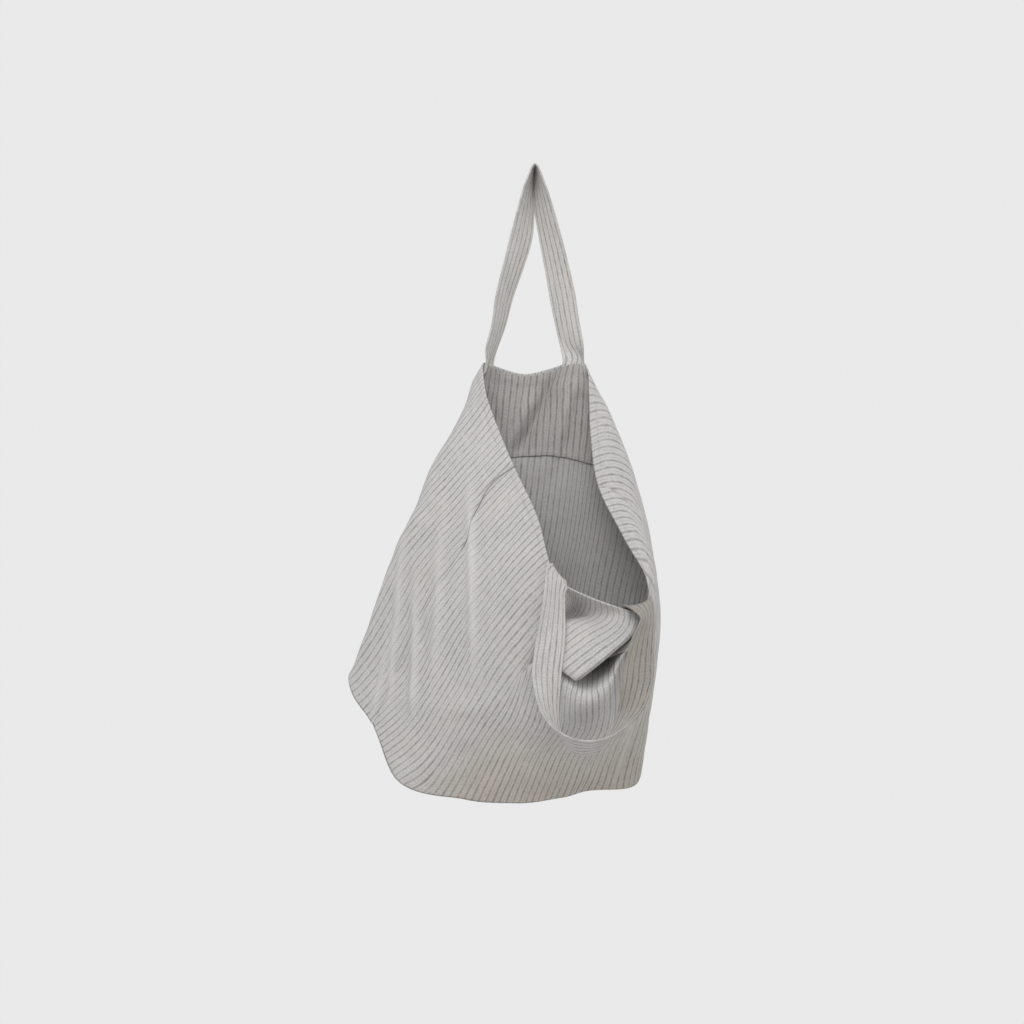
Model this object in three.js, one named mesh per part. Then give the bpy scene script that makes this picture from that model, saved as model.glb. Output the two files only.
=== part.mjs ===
// A soft striped linen tote bag that hangs by its back handle.
// Its mouth has fallen open to the front, and its second handle hangs down the front.
// Sizes are in millimetres. The origin is where the back handle hangs, +Z is up,
// +X is to the right as seen from the front, and the front of the bag faces -Y.
import * as THREE from 'three';

// Sizes of the sewn bag, laid flat
const BASE_WIDTH = 350;
const BASE_DEPTH = 150;
const MOUTH = 2 * (BASE_WIDTH + BASE_DEPTH);
const WALL_HEIGHT = 425;
const HANDLE_SPACING = 130;
const HANDLE_WIDTH = 40;
const HANDLE_TAIL = 26;
const FACING_HEIGHT = 120;

// Thicknesses, and the room that neighbouring pieces keep
const CLOTH = 1.5;
const STRAP_CLOTH = 2.2;
const FACING_CLOTH = 1.2;
const GAP = 0.3;
const SEAM_GAP = 0.6;
const BACK_ROOM = 1.2;
const FRONT_ROOM = 3.4;

// How finely the cloth is drawn
const COLUMN = 18;
const FINE_COLUMN = 10;
const UPPER_ROWS = 17;
const LOWER_ROWS = 7;
const FINE_ROWS_END = 230;
const STRAP_ROW = 14;
const STRAP_COLUMNS = 4;

// Places round the mouth, measured along the cloth from the middle of the back, the left side first
const BACK_CORNER = BASE_WIDTH / 2;
const SIDE_SEAM = MOUTH / 4;
const FRONT_CORNER = BACK_CORNER + BASE_DEPTH;
const FRONT_MIDDLE = MOUTH / 2;
const BACK_HANDLE = HANDLE_SPACING / 2;
const FRONT_HANDLE = FRONT_MIDDLE - HANDLE_SPACING / 2;

// One row for each upright section of the hanging bag: where the cloth at that place round the
// mouth lies at its rim, collar, shoulder, waist, hip and foot, which is the edge of the bottom.
// SECTION_LEVELS says how far down the cloth each of them is.
const SECTION_LEVELS = { rim: 0, collar: 45, shoulder: 106, waist: 212, hip: 319, foot: WALL_HEIGHT };
const SECTIONS = [
  { at: 0, rim: [-14, 6, -289], collar: [-17, 7, -333], shoulder: [-22, 8, -393],
    waist: [-32, 8, -496], hip: [-48, 8, -600], foot: [-62, 6, -706] },
  { at: 45, rim: [-59, 0, -277], collar: [-61, 1, -323], shoulder: [-66, 2, -385],
    waist: [-77, 6, -491], hip: [-95, 8, -597], foot: [-107, 6, -703] },
  { at: 67, rim: [-66, -18, -276], collar: [-88, -16, -312], shoulder: [-91, -8, -381],
    waist: [-103, 2, -489], hip: [-120, 5, -596], foot: [-130, 5, -701] },
  { at: 120, rim: [-63, -57, -315], collar: [-98, -54, -344], shoulder: [-134, -44, -397],
    waist: [-162, -18, -497], hip: [-178, -6, -598], foot: [-186, 0, -698] },
  { at: 175, rim: [-53, -82, -362], collar: [-92, -86, -389], shoulder: [-138, -84, -437],
    waist: [-187, -66, -516], hip: [-218, -46, -602], foot: [-254, -15, -697] },
  { at: 250, rim: [-30, -118, -418], collar: [-56, -117, -449], shoulder: [-90, -112, -495],
    waist: [-142, -92, -582], hip: [-178, -68, -676], foot: [-222, -45, -770] },
  { at: 325, rim: [0, -142, -483], collar: [-28, -146, -513], shoulder: [-62, -145, -557],
    waist: [-106, -124, -640], hip: [-146, -94, -744], foot: [-191, -70, -844] },
  { at: 433, rim: [25, -172, -563], collar: [16, -176, -603], shoulder: [2, -176, -650],
    waist: [-26, -160, -708], hip: [-52, -130, -768], foot: [-88, -100, -863] },
  { at: 500, rim: [72, -166, -592], collar: [62, -175, -628], shoulder: [50, -180, -670],
    waist: [30, -172, -722], hip: [7, -146, -774], foot: [-25, -108, -866] },
  { at: 567, rim: [136, -152, -608], collar: [132, -160, -631], shoulder: [122, -167, -663],
    waist: [96, -166, -718], hip: [65, -143, -778], foot: [35, -104, -859] },
  { at: 605, rim: [152, -128, -582], collar: [154, -138, -604], shoulder: [151, -148, -637],
    waist: [128, -152, -706], hip: [99, -135, -776], foot: [70, -98, -851] },
  { at: 675, rim: [115, -96, -507], collar: [147, -100, -527], shoulder: [159, -106, -578],
    waist: [162, -113, -658], hip: [146, -103, -746], foot: [132, -75, -845] },
  { at: 750, rim: [85, -62, -442], collar: [123, -58, -459], shoulder: [152, -48, -506],
    waist: [166, -58, -598], hip: [158, -56, -692], foot: [143, -40, -796] },
  { at: 825, rim: [76, -36, -372], collar: [114, -30, -387], shoulder: [138, -14, -434],
    waist: [144, -8, -533], hip: [124, -8, -637], foot: [114, -5, -745] },
  { at: 885, rim: [75, -16, -307], collar: [101, -4, -336], shoulder: [107, 0, -394],
    waist: [88, 4, -507], hip: [66, 4, -619], foot: [66, 2, -725] },
  { at: 912, rim: [69, -4, -279], collar: [81, 3, -321], shoulder: [76, 4, -384],
    waist: [59, 6, -500], hip: [40, 6, -611], foot: [41, 4, -719] },
  { at: 933, rim: [54, 2, -271], collar: [54, 4, -316], shoulder: [50, 6, -379],
    waist: [36, 7, -496], hip: [18, 7, -606], foot: [19, 5, -714] },
];

// Stretches of the mouth that bend tightly, at the handles and the folds, and are drawn finely.
const FINE = [
  { from: 45, to: 120 },
  { from: 433, to: 640 },
  { from: 885, to: 955 },
];

// The slack front between the handles, a row for each upright section through its folds: a hollow
// under the rim, the flap below it, the flap's lower crease, the pocket behind the crease and the
// lip of the pocket. FOLD_LEVELS says how far down the cloth each of them is.
const FOLD_LEVELS = { hollow: 30, flap: 70, crease: 125, pocket: 170, lip: 215 };
const FOLD_START = 428;
const FOLD_END = 645;
const BESIDE_FOLDS = 30;
const BELOW_FOLDS = [280, 350];
const FOLDS = [
  { at: 455, hollow: [39, -165, -595], flap: [20, -168, -622], crease: [2, -172, -652],
    pocket: [0, -168, -672], lip: [-8, -176, -687] },
  { at: 480, hollow: [46, -146, -609], flap: [31, -166, -622], crease: [5, -162, -651],
    pocket: [13, -160, -668], lip: [11, -178, -689] },
  { at: 510, hollow: [68, -150, -611], flap: [46, -178, -623], crease: [11, -174, -661],
    pocket: [31, -156, -678], lip: [31, -182, -702] },
  { at: 535, hollow: [93, -156, -615], flap: [64, -184, -638], crease: [25, -187, -677],
    pocket: [52, -148, -686], lip: [50, -185, -717] },
  { at: 555, hollow: [108, -166, -625], flap: [78, -187, -651], crease: [39, -192, -689],
    pocket: [69, -144, -692], lip: [67, -186, -722] },
  { at: 572, hollow: [120, -174, -634], flap: [91, -188, -663], crease: [52, -192, -700],
    pocket: [84, -143, -688], lip: [82, -185, -718] },
  { at: 582, hollow: [128, -176, -640], flap: [99, -186, -669], crease: [61, -188, -704],
    pocket: [92, -143, -683], lip: [91, -183, -711] },
  { at: 594, hollow: [133, -160, -638], flap: [104, -160, -664], crease: [75, -162, -693],
    pocket: [101, -146, -675], lip: [102, -180, -698] },
  { at: 615, hollow: [148, -150, -615], flap: [134, -158, -650], crease: [119, -158, -667],
    pocket: [115, -156, -662], lip: [116, -175, -669] },
];

// Soft upright ridges in the left wall: a row for each, with its place across the bag, the heights
// it runs between, its half width and how far it stands out.
const RIDGES = [
  { x: -86, top: -360, end: -690, spread: 20, rise: 8 },
  { x: -166, top: -520, end: -800, spread: 17, rise: 7 },
  { x: -203, top: -590, end: -790, spread: 13, rise: 6 },
  { x: -120, top: -420, end: -760, spread: 15, rise: -5 },
];

// The way of each handle between its sewn ends, a row for each place along it: its middle, which
// way its outer edge lies (turned from +X towards +Y) and how far that edge tips up.
const BACK_HANDLE_WAY = [
  { x: -63, y: -19, z: -256, turn: 258, tip: -2 },
  { x: -57, y: -15, z: -222, turn: 238, tip: 0 },
  { x: -45, y: -11, z: -182, turn: 231, tip: 2 },
  { x: -31, y: -8, z: -141, turn: 218, tip: 4 },
  { x: -22, y: -5, z: -101, turn: 221, tip: 5 },
  { x: -13, y: -4, z: -61, turn: 238, tip: 6 },
  { x: -8, y: -3, z: -30, turn: 254, tip: 3 },
  { x: 0, y: -3, z: -2, turn: 270, tip: 0 },
  { x: 6, y: -3, z: -30, turn: 292, tip: 3 },
  { x: 12, y: -3, z: -61, turn: 306, tip: 5 },
  { x: 21, y: -2, z: -101, turn: 316, tip: 5 },
  { x: 30, y: -1, z: -141, turn: 323, tip: 4 },
  { x: 38, y: -1, z: -182, turn: 332, tip: 2 },
  { x: 45, y: -3, z: -222, turn: 332, tip: 0 },
  { x: 51, y: -5, z: -254, turn: 344, tip: -2 },
];
const FRONT_HANDLE_WAY = [
  { x: 28, y: -182, z: -565, turn: 174, tip: 46 },
  { x: 25, y: -191, z: -578, turn: 178, tip: 32 },
  { x: 21, y: -198, z: -604, turn: 180, tip: 12 },
  { x: 19, y: -203, z: -644, turn: 180, tip: 0 },
  { x: 16, y: -205, z: -694, turn: 198, tip: 4 },
  { x: 21, y: -205, z: -740, turn: 240, tip: 20 },
  { x: 48, y: -202, z: -776, turn: 266, tip: 34 },
  { x: 85, y: -199, z: -774, turn: 282, tip: 28 },
  { x: 119, y: -196, z: -750, turn: 318, tip: 12 },
  { x: 131, y: -194, z: -706, turn: 372, tip: 4 },
  { x: 135, y: -193, z: -672, turn: 390, tip: 2 },
  { x: 140, y: -190, z: -640, turn: 404, tip: 3 },
  { x: 141, y: -178, z: -614, turn: 408, tip: 8 },
  { x: 137, y: -165, z: -600, turn: 399, tip: 22 },
];

const { clamp, degToRad, lerp, smoothstep } = THREE.MathUtils;
const vec = (x, y, z) => new THREE.Vector3(x, y, z);

// A smooth curve through points, each at its place, taken at one place.
function through(places, points, place) {
  const last = places.length - 1;
  const chord = (i, j) => points[j].clone().sub(points[i]).divideScalar(places[j] - places[i]);
  const slope = (i) => {
    if (i === 0) return chord(0, 1).multiplyScalar(2).sub(slope(1));
    if (i === last) return chord(last - 1, last).multiplyScalar(2).sub(slope(last - 1));
    return chord(i - 1, i + 1);
  };
  let i = 0;
  while (i < last - 1 && places[i + 1] <= place) i += 1;
  const span = places[i + 1] - places[i];
  const t = (place - places[i]) / span;
  return points[i].clone().multiplyScalar(2 * t ** 3 - 3 * t ** 2 + 1)
    .addScaledVector(slope(i), span * (t ** 3 - 2 * t ** 2 + t))
    .addScaledVector(points[i + 1], 3 * t ** 2 - 2 * t ** 3)
    .addScaledVector(slope(i + 1), span * (t ** 3 - t ** 2));
}

// One line of the sections, such as the rim or the foot, at a place round the mouth.
function lineAt(line, around) {
  const s = ((around % MOUTH) + MOUTH) % MOUTH;
  const rows = [-MOUTH, 0, MOUTH].flatMap((turn) => (
    SECTIONS.map((row) => ({ place: row.at + turn, point: vec(...row[line]) }))
  ));
  return through(rows.map(({ place }) => place), rows.map(({ point }) => point), s);
}

// The wall before its folds and ridges: around the mouth, and down from the rim along the cloth.
function plainWall(around, down) {
  const lines = Object.keys(SECTION_LEVELS);
  return through(lines.map((l) => SECTION_LEVELS[l]), lines.map((l) => lineAt(l, around)), down);
}

// One line of the folds, such as the crease or the lip, joined to the plain wall on both sides.
function foldAt(line, around) {
  const beside = [FOLD_START - BESIDE_FOLDS, FOLD_START, FOLD_END, FOLD_END + BESIDE_FOLDS]
    .map((at) => ({ at, point: plainWall(at, FOLD_LEVELS[line]) }));
  const rows = [
    ...beside.slice(0, 2), ...FOLDS.map((row) => ({ at: row.at, point: vec(...row[line]) })),
    ...beside.slice(2),
  ];
  return through(rows.map(({ at }) => at), rows.map(({ point }) => point), around);
}

// The wall with the folds of its slack front.
function foldedWall(around, down) {
  if (around <= FOLD_START || around >= FOLD_END) return plainWall(around, down);
  const plain = (level) => ({ level, point: plainWall(around, level) });
  const rows = [
    plain(0),
    ...Object.keys(FOLD_LEVELS).map((l) => ({ level: FOLD_LEVELS[l], point: foldAt(l, around) })),
    ...BELOW_FOLDS.map(plain), plain(WALL_HEIGHT),
  ];
  return through(rows.map(({ level }) => level), rows.map(({ point }) => point), down);
}

// The outer face of the wall with its folds and ridges.
function wall(around, down) {
  const point = foldedWall(around, down);
  const step = 4;
  const below = foldedWall(around, down + step).sub(foldedWall(around, down - step));
  const along = foldedWall(around + step, down).sub(foldedWall(around - step, down));
  const out = below.cross(along).normalize();
  const facing = smoothstep(-out.y, 0.1, 0.6);
  for (const ridge of RIDGES) {
    const across = Math.exp(-(((point.x - ridge.x) / ridge.spread) ** 2));
    const upright = (point.z - ridge.top) / (ridge.end - ridge.top);
    const inside = smoothstep(upright, 0, 0.3) * (1 - smoothstep(upright, 0.7, 1));
    point.addScaledVector(out, ridge.rise * across * inside * facing);
  }
  return point;
}

// A sheet of cloth while it is drawn: its points, and its faces as loops of point numbers.
class Sheet {
  constructor() {
    this.points = [];
    this.faces = [];
  }

  add(point) {
    this.points.push(point);
    return this.points.length - 1;
  }

  // Joins rows of point numbers. The faces look to the side that has the next point of the row
  // on its left and the next row below.
  weave(rows) {
    for (let r = 0; r + 1 < rows.length; r += 1) {
      for (let c = 0; c + 1 < rows[r].length; c += 1) {
        const [a, b, d, e] = [rows[r][c], rows[r + 1][c], rows[r + 1][c + 1], rows[r][c + 1]];
        this.faces.push([a, b, d], [a, d, e]);
      }
    }
  }

  normals() {
    const sums = this.points.map(() => vec(0, 0, 0));
    for (const [a, b, c] of this.faces) {
      const [pa, pb, pc] = [this.points[a], this.points[b], this.points[c]];
      const n = pb.clone().sub(pa).cross(pc.clone().sub(pa));
      for (const k of [a, b, c]) sums[k].add(n);
    }
    return sums.map((n) => n.normalize());
  }

  // A closed solid between two depths under the drawn face.
  solid(top, bottom, normals = this.normals()) {
    const count = this.points.length;
    const under = (depth) => this.points.map((p, i) => p.clone().addScaledVector(normals[i], -depth(i)));
    const points = [...under(top), ...under(bottom)];
    const index = [];
    const open = new Map();
    for (const [a, b, c] of this.faces) {
      index.push(a, b, c, a + count, c + count, b + count);
      for (const [i, j] of [[a, b], [b, c], [c, a]]) {
        if (!open.delete(`${j},${i}`)) open.set(`${i},${j}`, [i, j]);
      }
    }
    for (const [i, j] of open.values()) index.push(j, i, i + count, j, i + count, j + count);
    const geometry = new THREE.BufferGeometry().setFromPoints(points);
    geometry.setIndex(index);
    geometry.computeVertexNormals();
    return geometry;
  }
}

// Places round the mouth from one seam to the other, with one at every section.
function columnsBetween(start, end) {
  const marks = SECTIONS.flatMap(({ at }) => [at - MOUTH, at, at + MOUTH]);
  const stops = [start, ...marks.filter((s) => s > start && s < end), end].sort((a, b) => a - b);
  const columns = [start];
  for (let i = 0; i + 1 < stops.length; i += 1) {
    const place = (stops[i] + MOUTH) % MOUTH;
    const width = FINE.some(({ from, to }) => place >= from && place < to) ? FINE_COLUMN : COLUMN;
    const count = Math.max(1, Math.round((stops[i + 1] - stops[i]) / width));
    for (let k = 1; k <= count; k += 1) columns.push(lerp(stops[i], stops[i + 1], k / count));
  }
  return columns;
}

// Distances below the rim, closer together where the folds lie.
const ROWS = [
  ...Array.from({ length: UPPER_ROWS }, (_, k) => (FINE_ROWS_END * k) / UPPER_ROWS),
  ...Array.from({ length: LOWER_ROWS + 1 }, (_, k) => lerp(FINE_ROWS_END, WALL_HEIGHT, k / LOWER_ROWS)),
];

// One panel with its half of the bottom, from one side seam to the other.
// The boxed corners close where the ends of its foot fold in to meet the sides of the bottom.
function panelSheet(start, end, corner) {
  const sheet = new Sheet();
  const columns = columnsBetween(start + SEAM_GAP, end - SEAM_GAP);
  const rows = ROWS.map((down) => columns.map((s) => sheet.add(wall(s, down))));
  const foot = rows[rows.length - 1];
  const first = columns.indexOf(columns.find((s) => s > corner - 1));
  const last = columns.length - 1 - first;
  const place = (i) => sheet.points[foot[i]];
  const bottom = [foot.slice(first, last + 1)];
  for (let r = 1; r <= first; r += 1) {
    const row = [foot[first - r]];
    for (let c = first + 1; c < last; c += 1) {
      const across = (c - first) / (last - first);
      const inward = r / first;
      const near = place(c).clone().lerp(middleSeam(across, start, end), inward);
      const straight = place(first).clone().lerp(place(last), across)
        .lerp(middleSeam(across, start, end), inward);
      const sides = place(first - r).clone().lerp(place(last + r), across);
      row.push(sheet.add(near.add(sides).sub(straight)));
    }
    row.push(foot[last + r]);
    bottom.push(row);
  }
  sheet.weave(rows);
  sheet.weave(bottom);
  return { sheet, columns, corners: [foot[0], foot[foot.length - 1]] };
}

// The seam under the bottom, between the ends of the two side seams.
function middleSeam(across, start, end) {
  return lineAt('foot', start + SEAM_GAP).lerp(lineAt('foot', end - SEAM_GAP), across);
}

// A point of a drawn panel's face, and the way out of it there, between its columns and rows.
function onPanel({ sheet, columns, normals }, around, down) {
  const c = clamp(columns.findIndex((s) => s > around) - 1, 0, columns.length - 2);
  const r = clamp(ROWS.findIndex((d) => d > down) - 1, 0, ROWS.length - 2);
  const u = (around - columns[c]) / (columns[c + 1] - columns[c]);
  const v = (down - ROWS[r]) / (ROWS[r + 1] - ROWS[r]);
  const mix = (list) => {
    const at = (row, column) => list[row * columns.length + column].clone();
    return at(r, c).lerp(at(r, c + 1), u).lerp(at(r + 1, c).lerp(at(r + 1, c + 1), u), v);
  };
  return { point: mix(sheet.points), out: mix(normals).normalize() };
}

// Along the seams both panels turn the same way, so that neither reaches into the other.
function shareNormals(one, other) {
  one.sheet.points.forEach((point, i) => {
    const j = other.sheet.points.findIndex((p) => p.distanceTo(point) < 3 * SEAM_GAP);
    if (j < 0) return;
    one.normals[i].add(other.normals[j]).normalize();
    other.normals[j].copy(one.normals[i]);
  });
}

// A panel is thinner where three seams meet at its bottom corners.
function panelGeometry({ sheet, normals, corners }) {
  const depth = (i) => (corners.includes(i) ? CLOTH / 2 : CLOTH);
  return sheet.solid(() => 0, depth, normals);
}

// The band inside the back of the mouth. It lifts over the handle's sewn ends.
function facingGeometry(panel, start, end) {
  const sheet = new Sheet();
  const columns = panel.columns.filter((s) => s > start + 6 && s < end - 6);
  const rows = ROWS.filter((down) => down > 2 && down <= FACING_HEIGHT);
  const normals = [];
  const lift = [];
  const grid = rows.map((down) => columns.map((s) => {
    const { point, out } = onPanel(panel, s, down);
    const beside = Math.abs(Math.abs(s) - BACK_HANDLE) - HANDLE_WIDTH / 2;
    const over = 1 - smoothstep(Math.max(beside, down - HANDLE_TAIL), 6, 26);
    normals.push(out);
    lift.push(CLOTH + GAP + over * (STRAP_CLOTH + BACK_ROOM + 5 * GAP));
    return sheet.add(point);
  }));
  sheet.weave(grid);
  return sheet.solid((i) => lift[i], (i) => lift[i] + FACING_CLOTH, normals);
}

// A flat strap: its ends lie inside the mouth on the panel, and the rest follows its way.
function strapGeometry(panel, room, way, starts, ends, outward) {
  const edge = (c) => (c / STRAP_COLUMNS - 0.5) * HANDLE_WIDTH;
  const sunk = CLOTH + room + STRAP_CLOTH / 2;
  const sewn = (at, side, down) => (c) => {
    const { point, out } = onPanel(panel, at + side * outward * edge(c), down);
    return point.addScaledVector(out, -sunk);
  };
  const free = ({ x, y, z, turn, tip }) => (c) => {
    const [a, b] = [degToRad(turn), degToRad(tip)];
    const side = vec(Math.cos(a) * Math.cos(b), Math.sin(a) * Math.cos(b), Math.sin(b));
    return vec(x, y, z).addScaledVector(side, edge(c));
  };
  const sections = [
    sewn(starts, 1, HANDLE_TAIL), sewn(starts, 1, 12), sewn(starts, 1, -6),
    ...way.map(free),
    sewn(ends, -1, -4), sewn(ends, -1, 12), sewn(ends, -1, HANDLE_TAIL),
  ];
  const lines = Array.from({ length: STRAP_COLUMNS + 1 }, (_, c) => (
    new THREE.CatmullRomCurve3(sections.map((section) => section(c)), false, 'centripetal')
  ));
  const steps = [];
  for (let k = 0; k + 1 < sections.length; k += 1) {
    const length = sections[k](STRAP_COLUMNS / 2).distanceTo(sections[k + 1](STRAP_COLUMNS / 2));
    const count = Math.max(1, Math.round(length / STRAP_ROW));
    for (let i = 0; i < count; i += 1) steps.push((k + i / count) / (sections.length - 1));
  }
  steps.push(1);
  const sheet = new Sheet();
  const grid = steps.map((t) => lines.map((line) => sheet.add(line.getPoint(t))));
  sheet.weave(outward > 0 ? grid : grid.map((row) => [...row].reverse()));
  return sheet.solid(() => -STRAP_CLOTH / 2, () => STRAP_CLOTH / 2);
}

const back = panelSheet(-SIDE_SEAM, SIDE_SEAM, -BACK_CORNER);
const front = panelSheet(SIDE_SEAM, MOUTH - SIDE_SEAM, FRONT_CORNER);
for (const panel of [back, front]) panel.normals = panel.sheet.normals();
shareNormals(back, front);

const LINEN = { color: 0xc9c6c0, roughness: 0.95, metalness: 0 };
const LINEN_INSIDE = { color: 0xb4b0a9, roughness: 0.95, metalness: 0 };

function piece(name, geometry, look) {
  const mesh = new THREE.Mesh(geometry, new THREE.MeshStandardMaterial(look));
  mesh.name = name;
  return mesh;
}

const bag = new THREE.Group();
bag.name = 'linen_tote_bag';
bag.add(
  piece('back_panel', panelGeometry(back), LINEN),
  piece('front_panel', panelGeometry(front), LINEN),
  piece('back_facing', facingGeometry(back, -SIDE_SEAM, SIDE_SEAM), LINEN_INSIDE),
  piece('back_handle', strapGeometry(back, BACK_ROOM, BACK_HANDLE_WAY, BACK_HANDLE, -BACK_HANDLE, 1), LINEN),
  piece(
    'front_handle',
    strapGeometry(front, FRONT_ROOM, FRONT_HANDLE_WAY, FRONT_HANDLE, MOUTH - FRONT_HANDLE, -1),
    LINEN,
  ),
);

export default bag;
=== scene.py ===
"""A soft striped linen tote bag that hangs by its back handle, with its mouth open to the front.

Shapes are worked out in millimetres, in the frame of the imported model, and become metres as meshes.
A place on the cloth is (around, down): round the mouth from the middle of the back, the left side
first, and down from the rim along the cloth.
"""

import math

import bpy
import numpy as np
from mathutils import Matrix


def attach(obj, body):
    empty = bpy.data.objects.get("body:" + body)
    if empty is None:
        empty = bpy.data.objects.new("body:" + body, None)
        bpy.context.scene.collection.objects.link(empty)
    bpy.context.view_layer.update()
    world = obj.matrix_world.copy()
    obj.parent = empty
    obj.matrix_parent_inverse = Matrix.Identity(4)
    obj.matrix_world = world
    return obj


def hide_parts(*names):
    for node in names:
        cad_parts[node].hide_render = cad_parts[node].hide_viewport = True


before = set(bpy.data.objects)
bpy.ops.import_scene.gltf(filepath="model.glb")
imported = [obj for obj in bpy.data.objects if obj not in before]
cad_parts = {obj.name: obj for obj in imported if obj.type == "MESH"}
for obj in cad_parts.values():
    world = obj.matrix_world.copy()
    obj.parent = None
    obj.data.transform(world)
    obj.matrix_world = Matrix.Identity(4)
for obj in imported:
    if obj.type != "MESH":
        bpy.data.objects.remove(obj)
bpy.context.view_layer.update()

MM = 0.001

# Sizes of the sewn bag, laid flat
BASE_WIDTH = 350
BASE_DEPTH = 150
MOUTH = 2 * (BASE_WIDTH + BASE_DEPTH)
WALL_HEIGHT = 425
HANDLE_SPACING = 130
HANDLE_WIDTH = 40
HANDLE_TAIL = 26
FACING_HEIGHT = 120
HEM = 12

# Thicknesses, gaps between pieces, grooves of the seams and the step at the end of a hem
CLOTH = 1.3
HEM_CLOTH = 2.4
STRAP_CLOTH = 2.2
FACING_CLOTH = 1.1
GAP = 0.3
SEAM_GAP = 0.1
SEAM_GROOVE = 2.6
SEAM_ROUND = 3.2
HEM_STEP = 0.5

# A cut edge stands out from the sheet by this share of its thickness.
EDGE_ROUND = 0.35

# Stitches: their size, and where their lines run
STITCH = 2.3
STITCH_PITCH = 3.2
STITCH_WIDTH = 0.75
STITCH_RISE = 0.5
STITCH_TIP = 0.4
HEM_STITCH = 9.5
STRAP_STITCH = 17
BOX_INSET = 3
HEM_INSET = 5
STITCH_SUNK = 0.3

# How far a line of stitches pulls the cloth in, how uneven that is, how wide it is on a hem and on a
# strap, and which share of it a strap gets
SEWN_IN = 0.5
PUCKER = 0.35
HEM_PULL = 4
STRAP_PULL = 1.4
STRAP_SEWN_IN = 0.7

# Places round the mouth
BACK_CORNER = BASE_WIDTH / 2
SIDE_SEAM = MOUTH / 4
FRONT_CORNER = BACK_CORNER + BASE_DEPTH
BACK_HANDLE = HANDLE_SPACING / 2
FRONT_HANDLE = MOUTH / 2 - HANDLE_SPACING / 2

# How finely the cloth is drawn
COLUMN = 3.125
ROW = 3.5
HEM_ROWS = (0, 1, 2.5, 5, 8, HEM - 0.8, HEM, HEM + 0.8)
FIRST_ROW = 16
STRAP_STEP = 4
STRAP_FLAT = 16
STRAP_COLUMNS = 9
STRAP_EDGE = (18, 19.2, 20)

# How the plain cloth settles to its true lengths, on a coarser net
SETTLE_COLUMN = 12.5
SETTLE_ROWS = 31
SETTLE_STEPS = 1500
SETTLE_PULL = 0.4
SETTLE_EVEN = 0.1
SHAPE_HOLD = 0.25

# The hanging bag, a row for each upright section: where it is round the mouth, and the cloth there
# at each of the SECTION_LEVELS, from the rim down to the edge of the bottom.
SECTION_LEVELS = (0, 45, 106, 212, 319, WALL_HEIGHT)
SECTIONS = (
    # at, rim, collar, shoulder, waist, hip, foot
    (0, (-12, 6, -289), (-17, 7, -333), (-22, 8, -393),
     (-32, 8, -496), (-48, 8, -600), (-62, 6, -706)),
    (45, (-59, 0, -277), (-61, 1, -323), (-66, 2, -385),
     (-77, 6, -491), (-95, 8, -597), (-107, 6, -703)),
    (67, (-72, -18, -275), (-88, -16, -312), (-91, -8, -381),
     (-103, 2, -489), (-120, 5, -596), (-130, 5, -701)),
    (120, (-69, -57, -315), (-94, -54, -347), (-133, -44, -397),
     (-162, -18, -497), (-178, -6, -598), (-186, 0, -698)),
    (147, (-62, -70, -338), (-89, -71, -371), (-134, -66, -420),
     (-177, -42, -507), (-201, -25, -600), (-224, -7, -700)),
    (175, (-53, -82, -362), (-84, -87, -395), (-126, -86, -443),
     (-184, -66, -518), (-217, -46, -602), (-254, -15, -699)),
    (205, (-44, -97, -385), (-75, -101, -418), (-115, -98, -465),
     (-170, -77, -542), (-203, -55, -631), (-251, -25, -727)),
    (250, (-30, -118, -418), (-59, -119, -450), (-96, -112, -497),
     (-146, -92, -580), (-178, -68, -676), (-221, -45, -769)),
    (325, (0, -142, -483), (-30, -146, -515), (-66, -145, -556),
     (-111, -124, -638), (-146, -94, -744), (-184, -70, -843)),
    (433, (25, -172, -563), (16, -176, -603), (2, -176, -650),
     (-26, -160, -708), (-52, -130, -768), (-88, -100, -863)),
    (500, (72, -166, -592), (62, -175, -628), (50, -180, -670),
     (30, -172, -722), (7, -146, -774), (-25, -108, -866)),
    (567, (136, -152, -608), (132, -160, -631), (122, -167, -663),
     (96, -166, -718), (65, -143, -778), (35, -104, -859)),
    (605, (152, -128, -582), (154, -138, -604), (151, -148, -637),
     (128, -152, -706), (99, -135, -776), (70, -98, -851)),
    (675, (115, -96, -507), (147, -100, -527), (159, -106, -578),
     (162, -113, -658), (147, -103, -746), (135, -73, -846)),
    (750, (85, -62, -442), (123, -58, -459), (152, -48, -506),
     (166, -58, -598), (158, -56, -692), (143, -40, -796)),
    (825, (76, -36, -372), (114, -30, -387), (138, -14, -434),
     (144, -8, -533), (124, -8, -637), (114, -5, -745)),
    (885, (75, -16, -307), (101, -4, -336), (107, 0, -394),
     (88, 4, -507), (66, 4, -619), (66, 2, -725)),
    (912, (73, -4, -281), (81, 3, -321), (76, 4, -384),
     (59, 6, -500), (40, 6, -611), (41, 4, -719)),
    (933, (60, 2, -271), (54, 4, -316), (50, 6, -379),
     (36, 7, -496), (18, 7, -606), (19, 5, -714)),
)

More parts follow.
